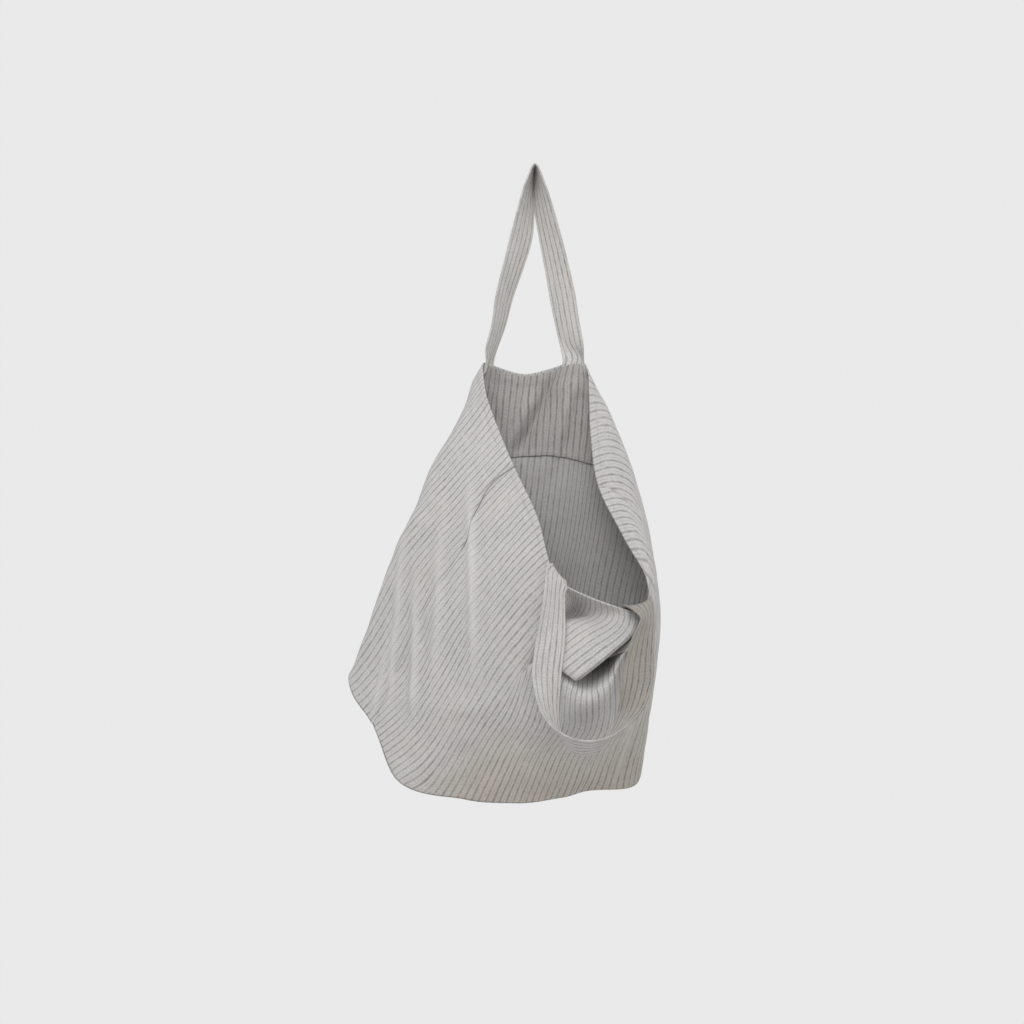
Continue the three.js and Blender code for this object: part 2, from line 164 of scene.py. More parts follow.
# The slack front between the handles, a row for each upright section through its folds: a hollow
# under the rim, the flap below it, the flap's lower crease, the pocket behind the crease and the
# lip of the pocket. FOLD_LEVELS says how far down the cloth each of them is.
FOLD_LEVELS = (30, 70, 125, 170, 215)
FOLD_ENDS = (428, 645)
FOLDS = (
    # at, hollow, flap, crease, pocket, lip
    (455, (39, -161, -597), (20, -168, -622), (2, -172, -650), (0, -168, -670), (-8, -176, -685)),
    (479, (49, -126, -613), (31, -166, -622), (5, -162, -649), (13, -158, -666), (10, -178, -687)),
    (503, (71, -142, -615), (45, -178, -623), (10, -174, -658), (27, -152, -672), (26, -181, -695)),
    (524, (94, -154, -620), (60, -184, -637), (21, -186, -671), (43, -142, -678), (42, -184, -705)),
    (541, (107, -164, -628), (72, -187, -650), (33, -190, -682), (57, -131, -682), (55, -185, -713)),
    (555, (118, -171, -635), (84, -188, -661), (44, -190, -692), (69, -119, -684), (67, -186, -716)),
    (563, (124, -173, -638), (91, -186, -667), (53, -187, -696), (76, -116, -682), (74, -186, -714)),
    (588, (131, -148, -630), (98, -142, -656), (70, -140, -682), (96, -114, -671), (96, -182, -697)),
    (612, (146, -152, -612), (130, -165, -636), (120, -171, -654), (116, -172, -662), (114, -176, -668)),
)

# The plain wall goes on this far beside the folds, and at these levels below them.
BESIDE_FOLDS = 30
BELOW_FOLDS = (280, 350)

# The folds are held while the rest settles, with a soft change from and to these places.
HELD_FROM, HELD_TO = 395, 675
HELD_DOWN = (215, 300)

# Upright ridges that its own pull draws in the hanging cloth: from where to where they run,
# half width and rise.
RIDGES = (
    # x, z, to x, to z, spread, rise
    (-176, -490, -202, -780, 6, 6.5),
    (-196, -640, -224, -775, 6, 5),
    (-160, -535, -166, -790, 6, 6),
    (-90, -400, -80, -735, 7, 6.5),
    (-126, -440, -136, -750, 8, 4),
    (136, -728, 102, -850, 5, 6.5),
)

# Round a ridge lies a wider, shallow hollow. A ridge fades over this share of its length at each end
# and counts as a full crest from this rise on.
RIDGE_HOLLOW = 0.45
RIDGE_HOLLOW_SPREAD = 2.6
RIDGE_FADE = 0.35
CREST_RISE = 6

# Ridges and the bend set in where the cloth looks to the front by these shares.
FRONTAL = (0.1, 0.6)

# The bend where the front turns under towards the bottom: its height, its reach across the bag, how
# far it stands out and how softly it fades upwards and downwards.
BEND_HEIGHT = -738
BEND_REACH = ((-190, -130), (40, 120))
BEND_RISE = 9
BEND_ROUND = 6
BEND_FADE = (48, 60)

# Slanting folds inside the back: where each starts and ends on the cloth, half width and rise. At each
# end a fold fades between these shares of its length.
BACK_FOLDS = (
    # around, down, to around, to down, spread, rise
    (-42, 6, 2, 118, 11, 12),
    (-14, 30, 30, 130, 10, -8),
    (-66, 20, -40, 150, 8, -6),
    (36, -4, 40, 90, 9, 5),
)
BACK_FOLD_FADE = (-0.1, 0.3)

# How far the left side seam strays across the threads, at distances down the cloth.
SEAM_SWAY = (
    # down, sway
    (0, 0), (45, -8), (80, -1), (110, 11), (135, 16), (170, 16), (212, 11), (300, 2), (WALL_HEIGHT, 0),
)
SEAM_EASE = 70

# How far the stripes stray from the upright threads of each panel, at distances down the cloth.
DRIFT_LEVELS = (0, 106, 319, WALL_HEIGHT)
BACK_DRIFT = (
    # at, rim, shoulder, hip, foot
    (-250, (30, 0, -10, -10)),
    (-175, (15, -15, -20, -15)),
    (-115, (0, -20, -20, -15)),
    (-65, (0, 0, 0, 0)),
    (45, (0, 0, 0, 0)),
    (120, (10, 5, 25, 40)),
    (175, (0, -5, 20, 40)),
    (250, (-15, -5, 20, 40)),
)
FRONT_DRIFT = (
    # at, rim, shoulder, hip, foot
    (250, (-15, -5, 20, 55)),
    (325, (-15, -10, 15, 65)),
    (380, (-30, -5, 15, 40)),
    (433, (-40, -10, 10, 25)),
    (490, (0, 0, 5, 15)),
    (605, (0, 0, 0, 0)),
    (675, (-15, -35, -20, -10)),
    (750, (-30, -55, -30, -15)),
)

# Small unevenness of the hanging cloth: waves of these lengths, this high in all, calm at the rim and
# at their full height from the second of these distances on.
RIPPLES = 28
RIPPLE_LENGTHS = (34, 95)
RIPPLE_RISE = 0.45
RIPPLE_CALM = (-10, 40)

# Seeds of all that is left to chance
RIPPLE_SEED, HEM_SEED, STRAP_SEED = 7, 3, 5

# The way of each handle between its sewn ends: its middle, which way its outer edge lies (turned
# from +X towards +Y) and how far that edge tips up.
BACK_HANDLE_WAY = (
    # x, y, z, turn, tip
    (-60, -17, -256, 250, -2),
    (-50, -14, -222, 244, 0),
    (-42, -11, -182, 236, 2),
    (-30, -8, -141, 228, 4),
    (-19, -5, -101, 224, 5),
    (-12, -4, -61, 238, 6),
    (-8, -3, -30, 254, 3),
    (0, -3, -2, 270, 0),
    (6, -3, -30, 292, 3),
    (12, -3, -61, 306, 5),
    (21, -2, -101, 316, 5),
    (30, -1, -141, 323, 4),
    (38, -1, -182, 328, 2),
    (44.5, -2, -219, 324, 0),
    (50, -3, -246, 322, -3),
)
FRONT_HANDLE_WAY = (
    # x, y, z, turn, tip
    (26, -182, -565, 206, 40),
    (24, -190, -577, 226, 26),
    (22, -198, -604, 222, 12),
    (18, -203, -644, 203, 0),
    (13, -205, -694, 206, 4),
    (20, -205, -750, 240, 20),
    (47, -202, -780, 266, 34),
    (85, -199, -778, 282, 28),
    (118, -196, -742, 318, 12),
    (130, -194, -703, 372, 4),
    (133, -193, -672, 384, 2),
    (138, -190, -640, 402, 3),
    (144, -178, -614, 420, 8),
    (139, -166, -600, 406, 20),
)


# Curves and soft steps


def smoothstep(x, start, end):
    t = np.clip((x - start) / (end - start), 0, 1)
    return t * t * (3 - 2 * t)


def through(places, points, wanted):
    """A smooth curve through points, each at its place, taken at the wanted places."""
    places, points = np.asarray(places, float), np.asarray(points, float)
    shape = (-1,) + (1,) * (points.ndim - 1)
    slopes = np.empty_like(points)
    slopes[1:-1] = (points[2:] - points[:-2]) / (places[2:] - places[:-2]).reshape(shape)
    slopes[0] = 2 * (points[1] - points[0]) / (places[1] - places[0]) - slopes[1]
    slopes[-1] = 2 * (points[-1] - points[-2]) / (places[-1] - places[-2]) - slopes[-2]
    i = np.clip(np.searchsorted(places, wanted, side="right") - 1, 0, len(places) - 2)
    span = (places[i + 1] - places[i]).reshape(shape)
    t = ((wanted - places[i]) / (places[i + 1] - places[i])).reshape(shape)
    return (
        points[i] * (2 * t**3 - 3 * t**2 + 1)
        + slopes[i] * span * (t**3 - 2 * t**2 + t)
        + points[i + 1] * (3 * t**2 - 2 * t**3)
        + slopes[i + 1] * span * (t**3 - t**2)
    )


def unit(vectors):
    return vectors / np.maximum(np.linalg.norm(vectors, axis=-1, keepdims=True), 1e-9)


# The body of the bag


def round_the_mouth(line, around):
    """One line of the sections, from rim to foot, at places round the mouth."""
    rows = [(at + turn, row[line]) for turn in (-MOUTH, 0, MOUTH) for at, *row in SECTIONS]
    places, points = zip(*rows)
    return through(places, points, around)


def plain_wall(around, down):
    """The wall before its folds: an array with a row for each down and a column for each around."""
    lines = np.array([round_the_mouth(line, around) for line in range(len(SECTION_LEVELS))])
    return through(SECTION_LEVELS, lines, np.asarray(down, float))


def folded_wall(around, down):
    """The wall with the folds of its slack front."""
    levels = np.array((0, *FOLD_LEVELS, *BELOW_FOLDS, WALL_HEIGHT), float)
    lines = plain_wall(around, levels)
    first, last = FOLD_ENDS
    ends = np.array([first - BESIDE_FOLDS, first, last, last + BESIDE_FOLDS], float)
    beside = plain_wall(ends, levels)
    inside = (around > ends[1]) & (around < ends[2])
    for k in range(len(FOLD_LEVELS)):
        places = [ends[0], ends[1], *(row[0] for row in FOLDS), ends[2], ends[3]]
        points = [*beside[k + 1, :2], *(row[k + 1] for row in FOLDS), *beside[k + 1, 2:]]
        lines[k + 1, inside] = through(places, points, around[inside])
    return through(levels, lines, np.asarray(down, float))


def outward(grid):
    """The way out of the bag at each point of a grid that runs once round the mouth."""
    along = np.roll(grid, -1, axis=1) - np.roll(grid, 1, axis=1)
    below = np.gradient(grid, axis=0)
    return unit(np.cross(below, along))


def ridges(points, out):
    """How far the upright ridges stand out at points, and how near those are to a crest, from 0 to 1."""
    facing = smoothstep(-out[..., 1], *FRONTAL)
    x, z = points[..., 0], points[..., 2]
    lift, crest = np.zeros(x.shape), np.zeros(x.shape)
    for x0, z0, x1, z1, spread, rise in RIDGES:
        gone = (z - z0) / (z1 - z0)
        inside = smoothstep(gone, 0, RIDGE_FADE) * (1 - smoothstep(gone, 1 - RIDGE_FADE, 1)) * facing
        aside = (x - x0 - (x1 - x0) * gone) / spread
        peak = np.exp(-(aside**2))
        hollow = RIDGE_HOLLOW * np.exp(-((aside / RIDGE_HOLLOW_SPREAD) ** 2))
        lift += rise * inside * (peak - hollow)
        crest = np.maximum(crest, inside * peak * rise / CREST_RISE)
    return lift, crest


def bend(points, out):
    """How far the bend above the bottom of the front stands out at points."""
    x, below = points[..., 0], BEND_HEIGHT - points[..., 2]
    (left, left_end), (right, right_end) = BEND_REACH
    inside = smoothstep(x, left, left_end) * (1 - smoothstep(x, right, right_end))
    inside = inside * smoothstep(-out[..., 1], *FRONTAL)
    return BEND_RISE * inside * np.exp(-np.hypot(below, BEND_ROUND) / np.where(below < 0, *BEND_FADE))


def add_ridges(grid):
    out = outward(grid)
    return grid + (ridges(grid, out)[0] + bend(grid, out))[..., None] * out


def add_back_folds(grid, around, down):
    """Folds of the back wall, which show inside the mouth."""
    around, down = np.meshgrid((around + MOUTH / 2) % MOUTH - MOUTH / 2, down)
    lift = np.zeros(around.shape)
    start, end = BACK_FOLD_FADE
    for a0, d0, a1, d1, spread, rise in BACK_FOLDS:
        long = math.hypot(a1 - a0, d1 - d0)
        ahead = ((around - a0) * (a1 - a0) + (down - d0) * (d1 - d0)) / long**2
        aside = ((around - a0) * (d1 - d0) - (down - d0) * (a1 - a0)) / long
        inside = smoothstep(ahead, start, end) * (1 - smoothstep(ahead, 1 - end, 1 - start))
        lift += rise * np.exp(-((aside / spread) ** 2)) * inside
    return grid + lift[..., None] * outward(grid)


def add_ripples(grid, around, down):
    """Small waves in all directions that close up round the mouth, calmer at the rim."""
    chance = np.random.default_rng(RIPPLE_SEED)
    around, down = np.meshgrid(around, down)
    lift = np.zeros(around.shape)
    for _ in range(RIPPLES):
        length = chance.uniform(*RIPPLE_LENGTHS)
        lean = chance.uniform(0, 2 * math.pi)
        turns = round(MOUTH / length * math.cos(lean))
        phase = 2 * math.pi * (turns * around / MOUTH + down / length * math.sin(lean))
        lift += np.sin(phase + chance.uniform(0, 2 * math.pi)) * math.sqrt(2 / RIPPLES)
    return grid + (RIPPLE_RISE * lift * smoothstep(down, *RIPPLE_CALM))[..., None] * outward(grid)


def settle(cloth, down):
    """Lets the plain cloth slip along its own shape until its threads have their true lengths.

    The rim, the edge of the bottom and the folded front stay where they are.
    """
    target, out = cloth, outward(cloth)
    around = np.arange(cloth.shape[1]) * SETTLE_COLUMN
    first, last = FOLD_ENDS
    folded = smoothstep(around, HELD_FROM, first) * (1 - smoothstep(around, last, HELD_TO))
    held = folded[None] * (1 - smoothstep(down, *HELD_DOWN))[:, None]
    held[[0, -1]] = 1
    rest = np.diff(down)[:, None, None]
    for _ in range(SETTLE_STEPS):
        way = np.roll(cloth, -1, axis=1) - cloth
        long = np.linalg.norm(way, axis=-1, keepdims=True)
        pull = way * (1 - SETTLE_COLUMN / long) * SETTLE_PULL
        cloth = cloth + pull - np.roll(pull, 1, axis=1)
        way = np.diff(cloth, axis=0)
        long = np.linalg.norm(way, axis=-1, keepdims=True)
        pull = way * (1 - rest / long) * SETTLE_PULL
        cloth[:-1] += pull
        cloth[1:] -= pull
        slip = cloth - target
        slip -= SHAPE_HOLD * out * (slip * out).sum(-1, keepdims=True)
        slip[1:-1] += SETTLE_EVEN * (slip[2:] + slip[:-2] - 2 * slip[1:-1])
        slip += SETTLE_EVEN * (np.roll(slip, 1, axis=1) + np.roll(slip, -1, axis=1) - 2 * slip)
        cloth = target + slip * (1 - held[..., None])
    return cloth


def body(around, down):
    """The settled cloth at fine places."""
    coarse = np.arange(0, MOUTH, SETTLE_COLUMN)
    levels = np.linspace(0, WALL_HEIGHT, SETTLE_ROWS)
    cloth = settle(folded_wall(coarse, levels), levels)
    turns = np.concatenate([coarse[-3:] - MOUTH, coarse, coarse[:3] + MOUTH])
    rows = np.concatenate([cloth[:, -3:], cloth, cloth[:, :3]], axis=1)
    columns = through(turns, rows.swapaxes(0, 1), around).swapaxes(0, 1)
    return through(levels, columns, down)


AROUND = np.arange(0, MOUTH, COLUMN)
DOWN = np.concatenate([HEM_ROWS, np.arange(FIRST_ROW, WALL_HEIGHT - 2, ROW), [WALL_HEIGHT]])
BODY = add_ridges(body(AROUND, DOWN))
BODY = add_ripples(add_back_folds(BODY, AROUND, DOWN), AROUND, DOWN)
BODY_OUT = outward(BODY)


def on_body(around, down, depth=0.0):
    """Points of the body's outer face, sunk to a depth under it. Above the rim they run straight on."""
    around, down, depth = np.broadcast_arrays(*np.atleast_1d(around, down, depth))
    column = (around % MOUTH) / COLUMN
    c = np.floor(column).astype(int)
    u = (column - c)[..., None]
    r = np.clip(np.searchsorted(DOWN, down, side="right") - 1, 0, len(DOWN) - 2)
    v = ((down - DOWN[r]) / (DOWN[r + 1] - DOWN[r]))[..., None]
    left, right = c % len(AROUND), (c + 1) % len(AROUND)

    def mix(grid):
        upper = grid[r, left] * (1 - u) + grid[r, right] * u
        lower = grid[r + 1, left] * (1 - u) + grid[r + 1, right] * u
        return upper * (1 - v) + lower * v

    return mix(BODY) - unit(mix(BODY_OUT)) * depth[..., None]


# Meshes


class Sheet:
    """A sheet of cloth while it is drawn: points, square faces and the cloth place of each corner."""

    def __init__(self):
        self.points, self.faces, self.places = [], [], []

    def add(self, points):
        points = np.asarray(points, float).reshape(-1, 3)
        first = sum(len(p) for p in self.points)
        self.points.append(points)
        return np.arange(first, first + len(points))

    def weave(self, rows, places):
        """Faces between rows of point numbers; places holds (across, along) for each of them."""
        rows, places = np.asarray(rows), np.asarray(places, float)
        corners = [(slice(None, -1), slice(None, -1)), (slice(1, None), slice(None, -1)),
                   (slice(1, None), slice(1, None)), (slice(None, -1), slice(1, None))]
        self.faces.append(np.stack([rows[c] for c in corners], -1).reshape(-1, 4))
        self.places.append(np.stack([places[c] for c in corners], -2).reshape(-1, 4, 2))

    def finish(self):
        self.points = np.concatenate(self.points)
        self.faces = np.concatenate(self.faces)
        self.places = np.concatenate(self.places)

    def normals(self):
        p, f = self.points, self.faces
        n = np.cross(p[f[:, 2]] - p[f[:, 0]], p[f[:, 3]] - p[f[:, 1]])
        total = np.zeros_like(p)
        for k in range(4):
            np.add.at(total, f[:, k], n)
        return unit(total)


def mesh_object(name, points, faces, places, inner, marks, material):
    """A mesh of square faces, in metres, with its cloth places as UVs in metres.

    The attribute "inner" is 1 on the side of the cloth that looks into the bag, "seam" along a seam
    and "crest" along a sharp ridge; the last two are the columns of marks.
    """
    mesh = bpy.data.meshes.new(name)
    mesh.from_pydata((np.asarray(points) * MM).tolist(), [], np.asarray(faces).tolist())
    layer = mesh.uv_layers.new(name="cloth")
    layer.data.foreach_set("uv", (np.asarray(places) * MM).astype(np.float32).ravel())
    mark = mesh.attributes.new("inner", "FLOAT", "FACE")
    mark.data.foreach_set("value", np.asarray(inner, np.float32))
    for column, label in enumerate(("seam", "crest")):
        mark = mesh.attributes.new(label, "FLOAT", "POINT")
        mark.data.foreach_set("value", marks[:, column].astype(np.float32))
    mesh.materials.append(material)
    mesh.shade_smooth()
    obj = bpy.data.objects.new(name, mesh)
    bpy.context.scene.collection.objects.link(obj)
    return obj


def solid_sheet(name, sheet, top, bottom, material, normals=None, marks=(0, 0)):
    """A closed sheet between two depths under the drawn face, with rounded edges."""
    normals = sheet.normals() if normals is None else normals
    count = len(sheet.points)
    top, bottom = np.broadcast_to(top, count), np.broadcast_to(bottom, count)
    upper = sheet.points - normals * top[:, None]
    lower = sheet.points - normals * bottom[:, None]
    starts = sheet.faces.ravel()
    ends = np.roll(sheet.faces, -1, axis=1).ravel()
    place_starts = sheet.places.reshape(-1, 2)
    place_ends = np.roll(sheet.places, -1, axis=1).reshape(-1, 2)
    key, twin = starts * count + ends, ends * count + starts
    border = ~np.isin(key, twin)
    a, b = starts[border], ends[border]
    # the middle of the edge stands out a little from the sheet
    side = np.zeros((count, 3))
    across = unit(np.cross(sheet.points[b] - sheet.points[a], normals[a]))
    np.add.at(side, a, across)
    np.add.at(side, b, across)
    rim = np.unique(np.concatenate([a, b]))
    number = np.full(count, -1)
    number[rim] = 2 * count + np.arange(len(rim))
    middle = (upper[rim] + lower[rim]) / 2 + unit(side[rim]) * (bottom - top)[rim, None] * EDGE_ROUND
    points = np.concatenate([upper, lower, middle])
    faces = np.concatenate([
        sheet.faces,
        sheet.faces[:, ::-1] + count,
        np.stack([b, a, number[a], number[b]], 1),
        np.stack([number[b], number[a], a + count, b + count], 1),
    ])
    ring = np.stack([place_ends[border], place_starts[border], place_starts[border], place_ends[border]], 1)
    places = np.concatenate([sheet.places, sheet.places[:, ::-1], ring, ring])
    inner = np.repeat([0, 1, 0, 1], [len(sheet.faces), len(sheet.faces), len(a), len(a)])
    marks = np.broadcast_to(marks, (count, 2))
    marks = np.concatenate([marks, marks, marks[rim]])
    return mesh_object(name, points, faces, places, inner, marks, material)


def stitches(piece, slot, *runs):
    """Stitches on a piece, as small grains. A run holds their middles, ways ahead and ways up."""
    middle, ahead, up = (np.concatenate([run[k].reshape(-1, 3) for run in runs]) for k in range(3))
    ahead, up = unit(ahead), unit(up)
    side = np.cross(ahead, up)
    wide, high = side * STITCH_WIDTH / 2, up * STITCH_RISE
    ring = np.stack([wide, high, -wide, -high], 1)
    points = np.stack([
        (middle + ahead * end * STITCH / 2)[:, None] + ring * size
        for end, size in ((-1, STITCH_TIP), (0, 1), (1, STITCH_TIP))
    ], 1)
    # three rings of four points each, closed at both ends
    one = [[3, 2, 1, 0], [8, 9, 10, 11]]
    for first in (0, 4):
        for k in range(4):
            after = (k + 1) % 4
            one.append([first + k, first + after, first + 4 + after, first + 4 + k])
    faces = (np.arange(len(middle))[:, None, None] * 12 + np.array(one)).reshape(-1, 4)
    mesh = bpy.data.meshes.new(piece.name + "_stitches")
    mesh.from_pydata((points.reshape(-1, 3) * MM).tolist(), [], faces.tolist())
    mesh.materials.append(thread)
    mesh.shade_smooth()
    obj = bpy.data.objects.new(mesh.name, mesh)
    bpy.context.scene.collection.objects.link(obj)
    obj.parent = piece
    return obj


def stitch_run(around, down, depth, inside=False):
    """Stitches along a line on the body, given at its ends and evenly between them."""
    (a0, a1), (d0, d1) = around, down
    count = max(2, int(math.hypot(a1 - a0, d1 - d0) / STITCH_PITCH))
    share = (np.arange(count) + 0.5) / count
    at, low = a0 + (a1 - a0) * share, d0 + (d1 - d0) * share
    step = 1 / math.hypot(a1 - a0, d1 - d0)
    ahead = on_body(at + (a1 - a0) * step, low + (d1 - d0) * step) - on_body(at, low)
    up = on_body(at, low, -1.0) - on_body(at, low)
    return on_body(at, low, depth), ahead, -up if inside else up


# Materials

LINEN_GROUND = (0.66, 0.653, 0.645)
STRAP_GROUND = (0.72, 0.708, 0.694)
# the facing inside the bag is the same linen with a darker ground: painted shade
SHADED_INSIDE_GROUND = (0.565, 0.547, 0.53)
STRIPE = (0.125, 0.125, 0.13)
SEWING_THREAD = (0.62, 0.59, 0.54)

# How strong the stripes are on the outside, inside and on the handles
LINEN_STRIPES, INSIDE_STRIPES, STRAP_STRIPES = 0.55, 0.67, 0.57

# Stripes and threads, in millimetres
STRIPE_PITCH = 8
STRIPE_STRAY = 1.1
STRIPE_WIDTH, STRIPE_WIDER = 1.25, 1.5
FAINT_WIDTH = 0.9
THREAD_PITCH = 0.9

# How often the yarn changes in a millimetre, across and along the cloth
WARP_SLUBS = (1.1, 0.035)
WEFT_SLUBS = (0.035, 1.1)
GRAIN = (0.62, 0.62)
WARM_PATCHES = (0.02, 0.012)
ROSY_FLECKS = (0.55, 0.07)
STRIPE_WANDER = (0.09, 0.06)
STRIPE_BREAKS = (0.12, 0.11)
STRIPE_PATCHES = (0.022, 0.016)
FAINT_BREAKS = (0.2, 0.05)
LUMPS = (0.35, 0.35)

# Shades of the yarn, and of the painted light and shade, as factors of the ground's colour
THIN, THICK = 0.86, 1.10
GRAIN_DARK = 0.62
WARM = (1.0, 0.945, 0.90)
ROSY = (0.92, 0.80, 0.74)
# painted highlight on ridge crests, painted shade in seam creases and on the side that looks into the bag
RIDGE_HIGHLIGHT = 1.2
CREASE_SHADE_TINT = 0.12
INNER_SHADE_TINT = 0.2

# How much of each is seen
GRAIN_SHARE = 0.62
WARM_SHARE = 0.35
ROSY_SHARE = 0.4
# painted shade on the side that looks into the bag, painted highlight on ridge crests and painted shade in
# seam creases
INNER_SHADE_SHARE = 0.15
CREST_FADE, CREST_HIGHLIGHT = 0.55, 0.22
CREASE_SHADE_SHARE = 0.75

# The painted shade of a seam's crease shows where its mark is over this value, and soon fully.
CREASE_FROM, CREASE_GAIN = 0.72, 5

# Painted shade, a browner tint where the lower front and the right half of the front handle lie in shade:
# from where to where that sets in, along the threads, then across them from the left and from the
# right, and the tint. The bottom, which faces down, has the painted shade all over, behind a soft edge.
PAINTED_SHADE_PANEL = (275, 405), (385, 450), (735, 660), (0.79, 0.75, 0.69)
PAINTED_SHADE_STRAP = (300, 375), (0.58, 0.548, 0.512)
PAINTED_SHADE_EDGE = 25


def new_material(name):
    material = bpy.data.materials.new(name)
    material.use_nodes = True
    return material, material.node_tree, material.node_tree.nodes["Principled BSDF"]


def linen(name, ground, stripe, strength, painted_shade=None):
    """Loose linen: a pale ground with slubs, soft broken stripes and a plain weave.

    Painted shade has ranges along and across in which the cloth turns to a darker, browner tint.
    """
    material, tree, shader = new_material(name)

    def math_node(operation, *values, clamp=False):
        node = tree.nodes.new("ShaderNodeMath")
        node.operation, node.use_clamp = operation, clamp
        for socket, value in zip(node.inputs, values):
            if isinstance(value, (int, float)):
                socket.default_value = value
            else:
                tree.links.new(value, socket)
        return node.outputs[0]

    def stretched(across, along):
        """The cloth's places, scaled apart across and along, per millimetre."""
        node = tree.nodes.new("ShaderNodeVectorMath")
        node.operation = "MULTIPLY"
        node.inputs[1].default_value = (across / MM, along / MM, 1)
        tree.links.new(uv.outputs["UV"], node.inputs[0])
        return node.outputs[0]

    def noise(across, along, detail=2.0):
        """Noise that changes so often in a millimetre."""
        node = tree.nodes.new("ShaderNodeTexNoise")
        node.noise_dimensions = "2D"
        node.inputs["Scale"].default_value = 1
        node.inputs["Detail"].default_value = detail
        tree.links.new(stretched(across, along), node.inputs["Vector"])
        return node.outputs["Fac"]

    def mix(share, one, other, blend="MIX"):
        node = tree.nodes.new("ShaderNodeMix")
        node.data_type, node.blend_type = "RGBA", blend
        for socket, value in ((node.inputs[0], share), (node.inputs[6], one), (node.inputs[7], other)):
            if isinstance(value, tuple):
                socket.default_value = (*value, 1)
            elif isinstance(value, (int, float)):
                socket.default_value = value
            else:
                tree.links.new(value, socket)
        return node.outputs[2]

    def tinted(*factors):
        """The ground's colour, with a factor for each of red, green and blue or one for all."""
        factors = factors * 3 if len(factors) == 1 else factors
        return tuple(min(1, c * factor) for c, factor in zip(ground, factors))

    def contrast(value, middle, gain, level):
        """A value spread about its middle and moved to a level, kept from 0 to 1."""
        return math_node("MULTIPLY_ADD", math_node("SUBTRACT", value, middle), gain, level, clamp=True)

    def reach(place, first, last):
        """How far a place is on the way from first to last, kept from 0 to 1."""
        long = last - first
        return math_node("MULTIPLY_ADD", place, 1 / long / MM, -first / long, clamp=True)

    def mark(label):
        node = tree.nodes.new("ShaderNodeAttribute")
        node.attribute_name = label
        return node.outputs["Fac"]

    def wave(place):
        return math_node("SINE", math_node("MULTIPLY", place, 2 * math.pi / (THREAD_PITCH * MM)))

    uv = tree.nodes.new("ShaderNodeUVMap")
    uv.uv_map = "cloth"
    split = tree.nodes.new("ShaderNodeSeparateXYZ")
    tree.links.new(uv.outputs["UV"], split.inputs[0])
    across, along = split.outputs[0], split.outputs[1]

    # slubs: threads that thicken and thin, both ways
    warp, weft, grain = noise(*WARP_SLUBS), noise(*WEFT_SLUBS), noise(*GRAIN)
    slub = math_node("ADD", math_node("MULTIPLY", warp, 0.5), math_node("MULTIPLY", weft, 0.5))
    slub = contrast(slub, 0.5, 2.6, 0.5)
    colour = mix(slub, tinted(THIN), tinted(THICK))
    speckle = contrast(grain, 0.5, 3.6, 0.5)
    colour = mix(math_node("MULTIPLY", speckle, GRAIN_SHARE), colour, tinted(GRAIN_DARK))

    # patches and short threads of a warmer, rosier undyed yarn
    warm = contrast(noise(*WARM_PATCHES), 0.5, 2.4, 0.4)
    colour = mix(math_node("MULTIPLY", warm, WARM_SHARE), colour, tinted(*WARM))
    fleck = contrast(noise(*ROSY_FLECKS), 0.6, 9, 0)
    colour = mix(math_node("MULTIPLY", fleck, ROSY_SHARE), colour, tinted(*ROSY))

    # stripes: soft bands of dark threads that wander a little and break up
    wander = math_node("MULTIPLY", math_node("SUBTRACT", noise(*STRIPE_WANDER), 0.5), STRIPE_STRAY * MM)
    turn = math_node("FRACT", math_node("DIVIDE", math_node("ADD", across, wander), STRIPE_PITCH * MM))
    away = math_node("MULTIPLY", math_node("ABSOLUTE", math_node("SUBTRACT", turn, 0.5)), STRIPE_PITCH)
    broken = noise(*STRIPE_BREAKS, 3.0)
    width = math_node("MULTIPLY_ADD", broken, STRIPE_WIDER, STRIPE_WIDTH)
    line = math_node("SUBTRACT", 1, math_node("DIVIDE", away, width), clamp=True)
    line = math_node("MULTIPLY", math_node("MULTIPLY", line, line), math_node("MULTIPLY_ADD", line, -2, 3))
    strands = math_node("COSINE", math_node("MULTIPLY", away, 2 * math.pi / THREAD_PITCH))
    strands = math_node("MULTIPLY_ADD", strands, 0.16, 0.84)
    patchy = math_node("MULTIPLY_ADD", noise(*STRIPE_PATCHES), 0.9, 0.55)
    depth = math_node("MULTIPLY", strands, math_node("MULTIPLY_ADD", broken, 0.7, strength - 0.35))
    depth = math_node("MULTIPLY", depth, patchy)
    # the stripes show fainter on ridge crests, as part of the painted highlight
    crest = mark("crest")
    depth = math_node("MULTIPLY", depth, math_node("MULTIPLY_ADD", crest, -CREST_FADE, 1))
    colour = mix(math_node("MULTIPLY", line, depth, clamp=True), colour, stripe)

    # and a single fainter thread between them
    between = math_node("MULTIPLY", math_node("MINIMUM", turn, math_node("SUBTRACT", 1, turn)), STRIPE_PITCH)
    faint = math_node("SUBTRACT", 1, math_node("DIVIDE", between, FAINT_WIDTH), clamp=True)
    seen = math_node("MULTIPLY_ADD", noise(*FAINT_BREAKS), 0.9, -0.28, clamp=True)
    colour = mix(math_node("MULTIPLY", faint, seen), colour, stripe)

    # painted highlight: paler along sharp ridges, where light catches them
    colour = mix(math_node("MULTIPLY", crest, CREST_HIGHLIGHT), colour, tinted(RIDGE_HIGHLIGHT))

    # painted shade: browner in its ranges and under the bag, where the bottom faces down
    if painted_shade:
        *ranges, tint = painted_shade
        share = 1.0
        for place, (first, last) in zip((along, across, across), ranges):
            share = math_node("MULTIPLY", reach(place, first, last), share)
        under = reach(along, WALL_HEIGHT, WALL_HEIGHT + PAINTED_SHADE_EDGE)
        colour = mix(math_node("MAXIMUM", share, under), colour, tint, "MULTIPLY")

